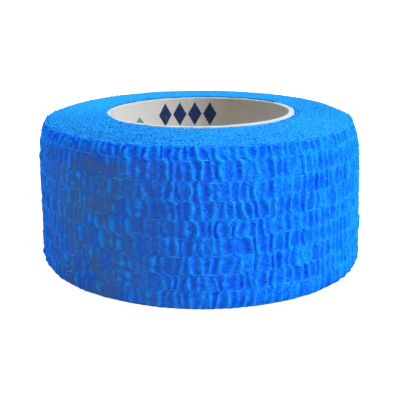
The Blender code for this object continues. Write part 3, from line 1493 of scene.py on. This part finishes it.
class NodeSheet:
    """A material's nodes, filled by name."""

    def __init__(self, name: str) -> None:
        """Starts a material with a Principled shader.

        Args:
            name: name of the material.
        """
        self.material = bpy.data.materials.new(name)
        self.material.use_nodes = True
        self.tree = self.material.node_tree
        self.shader = self.tree.nodes["Principled BSDF"]
        self.object_place = self.add("ShaderNodeTexCoord").outputs["Object"]

    def add(self, kind: str, **settings: object) -> bpy.types.Node:
        """Adds a node and sets its properties.

        Args:
            kind: type of the node.
            settings: its properties, by name.

        Returns:
            The node.
        """
        node = self.tree.nodes.new(kind)
        for key, value in settings.items():
            setattr(node, key, value)
        return node

    def feed(self, socket: bpy.types.NodeSocket, value: object) -> None:
        """Links an output to a socket, or sets the socket's own value.

        Args:
            socket: the socket.
            value: an output of another node, or a plain value.
        """
        if isinstance(value, bpy.types.NodeSocket):
            self.tree.links.new(value, socket)
        else:
            socket.default_value = value

    def set(self, **inputs: object) -> None:
        """Feeds the shader's inputs, whose names are given with underscores."""
        for key, value in inputs.items():
            self.feed(self.shader.inputs[key.replace("_", " ")], value)

    def mark(self, name: str) -> bpy.types.NodeSocket:
        """Reads a number that the mesh keeps at its points."""
        return self.add("ShaderNodeAttribute", attribute_name=name).outputs["Fac"]

    def maths(self, operation: str, first: object, second: object = 0.0) -> bpy.types.NodeSocket:
        """Works out a number from two others.

        Args:
            operation: what is done with them.
            first: a number or an output.
            second: a number or an output.

        Returns:
            The result's output.
        """
        node = self.add("ShaderNodeMath", operation=operation)
        self.feed(node.inputs[0], first)
        self.feed(node.inputs[1], second)
        return node.outputs[0]

    def times(self, first: object, second: object) -> bpy.types.NodeSocket:
        """Multiplies two numbers."""
        return self.maths("MULTIPLY", first, second)

    def distance(self, first: object, second: object) -> bpy.types.NodeSocket:
        """How far two numbers are apart."""
        return self.maths("ABSOLUTE", self.maths("SUBTRACT", first, second))

    def noise(self, grain: Grain) -> bpy.types.NodeSocket:
        """Adds a noise round 0.5 on the object's own coordinates.

        Args:
            grain: how it looks.

        Returns:
            The noise's output.
        """
        place = self.add("ShaderNodeMapping")
        self.feed(place.inputs["Vector"], self.object_place)
        place.inputs["Scale"].default_value = (1, 1, grain.upright)
        node = self.add("ShaderNodeTexNoise")
        self.feed(node.inputs["Vector"], place.outputs[0])
        node.inputs["Scale"].default_value = grain.scale
        node.inputs["Detail"].default_value = grain.detail
        return node.outputs["Fac"]

    def ramp(
        self, value: object, low: float, high: float, start: float = 0.0, end: float = 1.0
    ) -> bpy.types.NodeSocket:
        """Maps a range of a number to another range, smoothly.

        Args:
            value: the number's output.
            low: value at which the range begins.
            high: value at which it ends.
            start: result at its beginning.
            end: result at its end.

        Returns:
            The result's output.
        """
        node = self.add("ShaderNodeMapRange", interpolation_type="SMOOTHSTEP")
        self.feed(node.inputs["Value"], value)
        for key, number in (("From Min", low), ("From Max", high), ("To Min", start), ("To Max", end)):
            node.inputs[key].default_value = number
        return node.outputs["Result"]

    def mix(self, share: object, first: object, second: object) -> bpy.types.NodeSocket:
        """Mixes two colours.

        Args:
            share: share of the second colour.
            first: a colour or an output.
            second: a colour or an output.

        Returns:
            The mixed colour's output.
        """
        node = self.add("ShaderNodeMix", data_type="RGBA")
        self.feed(node.inputs["Factor"], share)
        # The colours' sockets share their names with those of other kinds, so they go by number.
        self.feed(node.inputs[6], first)
        self.feed(node.inputs[7], second)
        return node.outputs[2]

    def bump(
        self, height: object, distance: float, strength: float, under: object = None
    ) -> bpy.types.NodeSocket:
        """Turns a height into relief.

        Args:
            height: the height's output, from 0 to 1.
            distance: height that 1 stands for.
            strength: how strongly the relief shows.
            under: another relief that this one lies on.

        Returns:
            The relief's output.
        """
        node = self.add("ShaderNodeBump")
        self.feed(node.inputs["Height"], height)
        node.inputs["Distance"].default_value = distance
        node.inputs["Strength"].default_value = strength
        if under is not None:
            self.feed(node.inputs["Normal"], under)
        return node.outputs[0]


@dataclass(frozen=True)
class ClothFinish:
    """Crinkled nonwoven cloth: deeper blue in its hollows, paler on its ridges, with fine fibres all over.

    The meshes keep two numbers at their points: the tone, from a hollow to a ridge, and the unshaded
    detail, which is how much of the pits and the speckle shows; where it is low, the hollows also take the
    painted shade colour.

    Attributes:
        name: name of the material.
        hollow: colour of the hollows: partly the cloth's own deeper blue and partly painted shade.
        ridge: colour of the ridges.
        painted_shade: colour of the hollows where the unshaded detail is 0: painted shade.
        pit: colour of the small pits between fibres.
        nap: colour of the nap's sheen.
        sheen: strength of the sheen.
        tone_range: tones that count as a hollow and as a ridge.
        fibres: the fine speckle.
        patches: large uneven patches.
        blots: smaller ones.
        streaks: short upright streaks.
        pits: noise of the pits.
        pit_range: values of that noise between which a pit sets in.
        pitting: strength of the pits.
        spots: noise of the spots that keep the hollows' own colour inside the painted shade, where the
        unshaded detail is 0.
        spot_range: values of that noise between which a spot sets in.
        spotting: strength of the spots.
        fibre_relief: height of the fibres' relief, and its strength.
        streak_relief: the same of the streaks.
    """

    name: str
    hollow: Colour
    ridge: Colour
    painted_shade: Colour
    pit: Colour = (0.0, 0.07, 0.45, 1.0)
    nap: Colour = (0.08, 0.55, 1.0, 1.0)
    sheen: float = 0.04
    tone_range: tuple[float, float] = (0.1, 0.9)
    fibres: Grain = Grain(5200, 3, strength=2.2)
    patches: Grain = Grain(420, upright=0.6, strength=0.5)
    blots: Grain = Grain(1500, upright=0.7, strength=0.9)
    streaks: Grain = Grain(5200, upright=0.22, strength=0.65)
    pits: Grain = Grain(2600, upright=1.6)
    pit_range: tuple[float, float] = (0.43, 0.33)
    pitting: float = 0.75
    spots: Grain = Grain(330, 3, upright=0.8)
    spot_range: tuple[float, float] = (0.42, 0.62)
    spotting: float = 0.6
    fibre_relief: tuple[float, float] = (0.06 * MM, 0.8)
    streak_relief: tuple[float, float] = (0.10 * MM, 0.5)

    def build(self) -> bpy.types.Material:
        """Makes the material.

        Returns:
            The material.
        """
        sheet = NodeSheet(self.name)
        tone, unshaded_detail = sheet.mark("tone"), sheet.mark("unshaded_detail")
        grains = (self.fibres, self.patches, self.blots, self.streaks)
        noises = [sheet.noise(grain) for grain in grains]
        unevenness = 0.0
        for grain, noise in zip(grains, noises):
            centred = sheet.maths("SUBTRACT", noise, 0.5)
            unevenness = sheet.maths("ADD", unevenness, sheet.times(centred, grain.strength))
        # The tone leads from the hollows' colour to the ridges' one; the darker end is partly painted shade of
        # the hollows.
        share = sheet.ramp(sheet.maths("ADD", tone, sheet.times(unevenness, unshaded_detail)), *self.tone_range)
        spots = sheet.times(sheet.ramp(sheet.noise(self.spots), *self.spot_range), self.spotting)
        # Painted shade: where the unshaded detail is low, save in the spots, the hollows take the painted shade
        # colour.
        hollow = sheet.mix(sheet.maths("MAXIMUM", unshaded_detail, spots), self.painted_shade, self.hollow)
        pits = sheet.ramp(sheet.noise(self.pits), *self.pit_range)
        pitted = sheet.times(pits, sheet.times(unshaded_detail, self.pitting))
        fibres, *_, streaks = noises
        relief = sheet.bump(streaks, *self.streak_relief)
        sheet.set(
            Base_Color=sheet.mix(pitted, sheet.mix(share, hollow, self.ridge), self.pit),
            Roughness=0.9,
            Specular_IOR_Level=0.01,
            Sheen_Weight=self.sheen,
            Sheen_Roughness=0.4,
            Sheen_Tint=self.nap,
            Normal=sheet.bump(fibres, *self.fibre_relief, relief),
        )
        return sheet.material


@dataclass(frozen=True)
class YarnFinish:
    """Elastic yarn and loose fibre: pale blue and a little glossy.

    Attributes:
        name: name of the material.
        pale: colour of its pale stretches.
        deep: colour of its deep ones.
        stretches: noise that leads from one to the other.
        stretch_range: values of that noise between which it does so.
    """

    name: str
    pale: Colour
    deep: Colour
    stretches: Grain = Grain(900)
    stretch_range: tuple[float, float] = (0.35, 0.65)

    def build(self) -> bpy.types.Material:
        """Makes the material.

        Returns:
            The material.
        """
        sheet = NodeSheet(self.name)
        share = sheet.ramp(sheet.noise(self.stretches), *self.stretch_range)
        sheet.set(Base_Color=sheet.mix(share, self.deep, self.pale), Roughness=0.55, Specular_IOR_Level=0.08)
        return sheet.material


@dataclass(frozen=True)
class PaperFinish:
    """White paper board with a printed lining.

    Attributes:
        name: name of the material.
        board: colour of the board's cut rim.
        lining: colour of the lining.
        ink: colour of the printed lozenges.
        second_ink: colour of the small lozenges.
        band_height: height of the lozenges' middle.
        start: angle at which the first group starts.
        groups: number of groups of lozenges in a turn.
        cells: number of places in a group.
        printed: number of those places that hold a lozenge.
        lozenge: half a lozenge's width, in places, and half its height.
        small: the same of a small lozenge.
        small_cell: the place that holds the small lozenge.
        small_drop: how far the small lozenge lies under the others.
        edge: where a lozenge's edge begins and ends, in shares of its half width.
        bleeding: how far ink bleeds over the edge, in the same shares.
        bleed: noise of the bleeding.
        grain: noise of the paper's surface.
        gaps: values of that noise between which ink starts to hold.
        gap_ink: share of the ink that is left in a gap.
        gloss: values of that noise between which the roughness rises, and its two ends.
        relief: height of the surface's relief, and its strength.
        rim_edge: values of the lining's mark between which the board turns to the lining.
        print_edge: values of that mark between which the print sets in.
        mottle: noise of the lining's mottling.
        mottle_range: values of that noise between which it sets in.
        mottling: how much of the board's colour the mottling brings in.
    """

    name: str
    board: Colour
    lining: Colour
    ink: Colour
    second_ink: Colour
    band_height: float
    start: float = math.radians(77)
    groups: int = 3
    cells: int = 11
    printed: int = 4
    lozenge: tuple[float, float] = (0.47, 2.3 * MM)
    small: tuple[float, float] = (0.38, 1.2 * MM)
    small_cell: int = 5
    small_drop: float = 0.9 * MM
    edge: tuple[float, float] = (1.0, 0.93)
    bleeding: float = 0.12
    bleed: Grain = Grain(3500, 1)
    grain: Grain = Grain(2600, 4)
    gaps: tuple[float, float] = (0.2, 0.42)
    gap_ink: float = 0.7
    gloss: tuple[float, float, float, float] = (0.2, 0.8, 0.6, 0.85)
    relief: tuple[float, float] = (0.04 * MM, 0.5)
    rim_edge: tuple[float, float] = (0.2, 0.8)
    print_edge: tuple[float, float] = (0.5, 0.6)
    mottle: Grain = Grain(260, 3)
    mottle_range: tuple[float, float] = (0.3, 0.7)
    mottling: float = 0.35

    def build(self) -> bpy.types.Material:
        """Makes the material.

        Returns:
            The material.
        """
        sheet = NodeSheet(self.name)
        parts = sheet.add("ShaderNodeSeparateXYZ")
        sheet.feed(parts.inputs[0], sheet.object_place)
        x, y, z = parts.outputs
        angle = sheet.maths("SUBTRACT", sheet.maths("ARCTAN2", y, x), self.start)
        group = sheet.maths("FRACT", sheet.times(sheet.maths("DIVIDE", angle, FULL_TURN), self.groups))
        place = sheet.times(group, self.cells)
        big = self.lozenges(sheet, place, z, self.lozenge, 0.0)
        big = sheet.times(big, sheet.maths("LESS_THAN", place, self.printed))
        small = self.lozenges(sheet, place, z, self.small, self.small_drop)
        off_small_cell = sheet.distance(place, self.small_cell + 0.5)
        small = sheet.times(small, sheet.maths("LESS_THAN", off_small_cell, 0.5))
        lining, grain = sheet.mark("lining"), sheet.noise(self.grain)
        mottled = sheet.ramp(sheet.noise(self.mottle), *self.mottle_range, 0.0, self.mottling)
        paper = sheet.mix(mottled, self.lining, self.board)
        paper = sheet.mix(sheet.ramp(lining, *self.rim_edge), self.board, paper)
        inked = sheet.ramp(grain, *self.gaps, self.gap_ink, 1.0)
        held = sheet.times(sheet.ramp(lining, *self.print_edge), inked)
        paper = sheet.mix(sheet.times(held, small), paper, self.second_ink)
        sheet.set(
            Base_Color=sheet.mix(sheet.times(held, big), paper, self.ink),
            Roughness=sheet.ramp(grain, *self.gloss),
            Specular_IOR_Level=0.3,
            Normal=sheet.bump(grain, *self.relief),
        )
        return sheet.material

    def lozenges(
        self,
        sheet: NodeSheet,
        place: bpy.types.NodeSocket,
        height: bpy.types.NodeSocket,
        size: tuple[float, float],
        drop: float,
    ) -> bpy.types.NodeSocket:
        """Draws a lozenge in every place of the group.

        Args:
            sheet: the material's nodes.
            place: place round the tube, in places of the group.
            height: height above the foot.
            size: half the lozenge's width, in places, and half its height.
            drop: how far it lies under the band's middle.

        Returns:
            1 inside a lozenge and 0 outside.
        """
        width, tallness = size
        across = sheet.maths("DIVIDE", sheet.distance(sheet.maths("FRACT", place), 0.5), width)
        up = sheet.maths("DIVIDE", sheet.distance(height, self.band_height - drop), tallness)
        inside = sheet.maths("ADD", across, up)
        bleed = sheet.times(sheet.maths("SUBTRACT", sheet.noise(self.bleed), 0.5), self.bleeding)
        return sheet.ramp(sheet.maths("ADD", inside, bleed), *self.edge)


CLOTH = ClothFinish(
    "crinkled_cloth",
    # The hollows' deeper blue is partly the cloth's own and partly painted shade.
    hollow=(0.003, 0.107, 0.93, 1),
    ridge=(0.006, 0.243, 1.0, 1),
    # The painted shade colour of the hollows on the front left: a greyer, darker blue.
    painted_shade=(0.026, 0.126, 0.46, 1),
)
# A copy of the cloth with about half its blue for the end faces, which the lights strike most from above:
# painted shade.
SHADED_END_FACE = ClothFinish(
    "shaded_wound_edges",
    hollow=(0.003, 0.111, 0.46, 1),
    ridge=(0.016, 0.248, 0.61, 1),
    painted_shade=(0.003, 0.111, 0.46, 1),
    tone_range=(-0.1, 0.8),
    fibres=Grain(5200, 3, strength=6.4),
    pitting=0.9,
)
YARN = YarnFinish("elastic_yarn", pale=(0.04, 0.44, 1.0, 1), deep=(0.01, 0.28, 0.95, 1))


# ---------------------------------------------------------------- the studio


@dataclass(frozen=True)
class PhotoCamera:
    """The camera at the photograph's angle.

    Attributes:
        distance: distance in front of the roll's axis.
        height: height above the floor.
        pitch: how far it looks down.
        yaw: how far it looks to the right.
        roll: how far it is turned about its own axis.
        lens: focal length in millimetres.
        sensor: width of the sensor in millimetres.
        seen: nearest and farthest distance that it shows.
    """

    distance: float = 130 * MM
    height: float = 46.9 * MM
    pitch: float = 0.2829
    yaw: float = 0.0006
    roll: float = -0.0016
    lens: float = 69.8
    sensor: float = 36
    seen: tuple[float, float] = (0.01, 20)

    def build(self) -> bpy.types.Object:
        """Adds the camera to the scene.

        Returns:
            The camera.
        """
        data = bpy.data.cameras.new("photo_camera")
        data.lens = self.lens
        data.sensor_width = self.sensor
        data.clip_start, data.clip_end = self.seen
        camera = add_object("photo_camera", data)
        turn = Matrix.Rotation(-self.yaw, 4, "Z") @ Matrix.Rotation(math.pi / 2 - self.pitch, 4, "X")
        place = Matrix.Translation((0, -self.distance, self.height))
        camera.matrix_world = place @ turn @ Matrix.Rotation(self.roll, 4, "Z")
        bpy.context.scene.camera = camera
        return camera


@dataclass(frozen=True)
class Softbox:
    """One soft studio light, aimed at the roll.

    Attributes:
        name: name of the light.
        azimuth: where it stands round the roll: 0 is in front and 90 on the right.
        elevation: angle above the floor.
        distance: distance from the roll.
        size: side of its square face.
        power: power in watts.
        colour: colour of its light.
    """

    name: str
    azimuth: float
    elevation: float
    distance: float
    size: float
    power: float
    colour: tuple[float, float, float]

    def build(self, aim: Vector) -> bpy.types.Object:
        """Adds the light to the scene.

        Args:
            aim: the point that it faces.

        Returns:
            The light.
        """
        data = bpy.data.lights.new(self.name, "AREA")
        data.size = self.size
        data.energy = self.power
        data.color = self.colour
        light = add_object(self.name, data)
        around, up = math.radians(self.azimuth), math.radians(self.elevation)
        away = Vector((math.sin(around) * math.cos(up), -math.cos(around) * math.cos(up), math.sin(up)))
        light.location = aim + away * self.distance
        light.rotation_euler = away.to_track_quat("Z", "Y").to_euler()
        return light


@dataclass(frozen=True)
class Studio:
    """The pale floor, the soft lights and the bright surround.

    Attributes:
        floor_size: side of the floor.
        floor_drop: how far the floor lies under the roll's foot.
        floor_colour: colour of the floor.
        floor_glow: light that the floor gives, as a lit sweep does.
        floor_white: how much whiter the floor is to the eye, which leaves only a faint shadow on it.
        surround: colour of the light from all round.
        surround_strength: its strength.
        aim_height: height of the point that the lights face.
        lights: the lights.
    """

    floor_size: float = 3.0
    floor_drop: float = 0.02 * MM
    floor_colour: Colour = (0.93, 0.70, 0.40, 1.0)
    floor_glow: float = 0.16
    floor_white: float = 0.82
    surround: tuple[float, float, float] = (1.0, 0.63, 0.30)
    surround_strength: float = 0.09
    aim_height: float = 0.012
    lights: tuple[Softbox, ...] = (
        Softbox("key_light", 75, 47, 0.60, 0.16, 5.7, (0.94, 0.98, 1.0)),
        Softbox("top_light", -86, 78, 0.5, 0.16, 1.8, (0.85, 0.95, 1.0)),
        Softbox("edge_light", -125, 0, 0.5, 0.02, 2.05, (0.01, 0.55, 1.0)),
        Softbox("warm_fill", -32, 0, 0.5, 0.02, 0.9, (1.0, 0.02, 0.0)),
        Softbox("blue_fill", 25, 0, 0.5, 0.02, 0.4, (0.0, 0.04, 1.0)),
    )

    def build(self) -> None:
        """Sets the scene up round the part."""
        self.add_floor()
        self.add_surround()
        for light in self.lights:
            light.build(Vector((0, 0, self.aim_height)))
        view = bpy.context.scene.view_settings
        view.view_transform = "Standard"
        view.look = "None"

    def add_floor(self) -> None:
        """Adds the floor, which glows a little as a lit white sweep does."""
        body = bmesh.new()
        bmesh.ops.create_grid(body, x_segments=2, y_segments=2, size=self.floor_size / 2)
        bmesh.ops.translate(body, verts=body.verts[:], vec=(0, 0, -self.floor_drop))
        mesh = bpy.data.meshes.new("floor")
        body.to_mesh(mesh)
        body.free()
        sheet = NodeSheet("pale_floor")
        seen = sheet.add("ShaderNodeLightPath").outputs["Is Camera Ray"]
        glow = sheet.maths("ADD", self.floor_glow, sheet.times(seen, self.floor_white))
        sheet.set(Base_Color=self.floor_colour, Roughness=0.9, Specular_IOR_Level=0.1)
        sheet.set(Emission_Color=(1, 1, 1, 1), Emission_Strength=glow)
        mesh.materials.append(sheet.material)
        add_object("floor", mesh)

    def add_surround(self) -> None:
        """Lights the scene from all round, and shows white behind it."""
        world = bpy.data.worlds.new("surround")
        bpy.context.scene.world = world
        world.use_nodes = True
        nodes, links = world.node_tree.nodes, world.node_tree.links
        soft = nodes["Background"]
        soft.inputs["Color"].default_value = (*self.surround, 1)
        soft.inputs["Strength"].default_value = self.surround_strength
        white = nodes.new("ShaderNodeBackground")
        path = nodes.new("ShaderNodeLightPath")
        mix = nodes.new("ShaderNodeMixShader")
        links.new(path.outputs["Is Camera Ray"], mix.inputs[0])
        links.new(soft.outputs[0], mix.inputs[1])
        links.new(white.outputs[0], mix.inputs[2])
        links.new(mix.outputs[0], nodes["World Output"].inputs["Surface"])


# ---------------------------------------------------------------- main


def report(piece: bpy.types.Object) -> None:
    """Logs a piece's name and size."""
    LOG.info("%s: %d faces", piece.name, len(piece.data.polygons))


def main() -> None:
    """Builds the roll and the studio round it."""
    logging.basicConfig(level=logging.INFO)
    PhotoCamera().build()
    Studio().build()
    form = WoundForm.from_frame()
    outer = add_piece("outer_turn", OuterTurn(form, Crinkle(form)).build(), CLOTH.build())
    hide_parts("roll")
    report(outer)
    edges = SHADED_END_FACE.build()
    inner = add_piece("wound_turns", WoundTurns(form).build(), edges)
    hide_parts("roll")
    report(inner)
    yarn = YARN.build()
    report(add_piece("elastic_yarns", ElasticYarns(form).build(), yarn))
    report(add_piece("loose_fibres", LooseFibres(form).build(), yarn))
    paper = PaperFinish(
        "printed_paper",
        board=(0.40, 0.465, 0.50, 1),
        lining=(0.55, 0.525, 0.51, 1),
        ink=(0.005, 0.022, 0.10, 1),
        second_ink=(0.05, 0.26, 0.21, 1),
        band_height=form.strip_width - 3.3 * MM,
    )
    tube = PaperCore(form.core_radius, form.strip_width)
    core = add_piece("paper_core", tube.build(), paper.build())
    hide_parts("core")
    report(core)
    report(add_piece("rim_overlap", RimOverlap(tube).build(), edges))


if __name__ == "__main__":
    main()
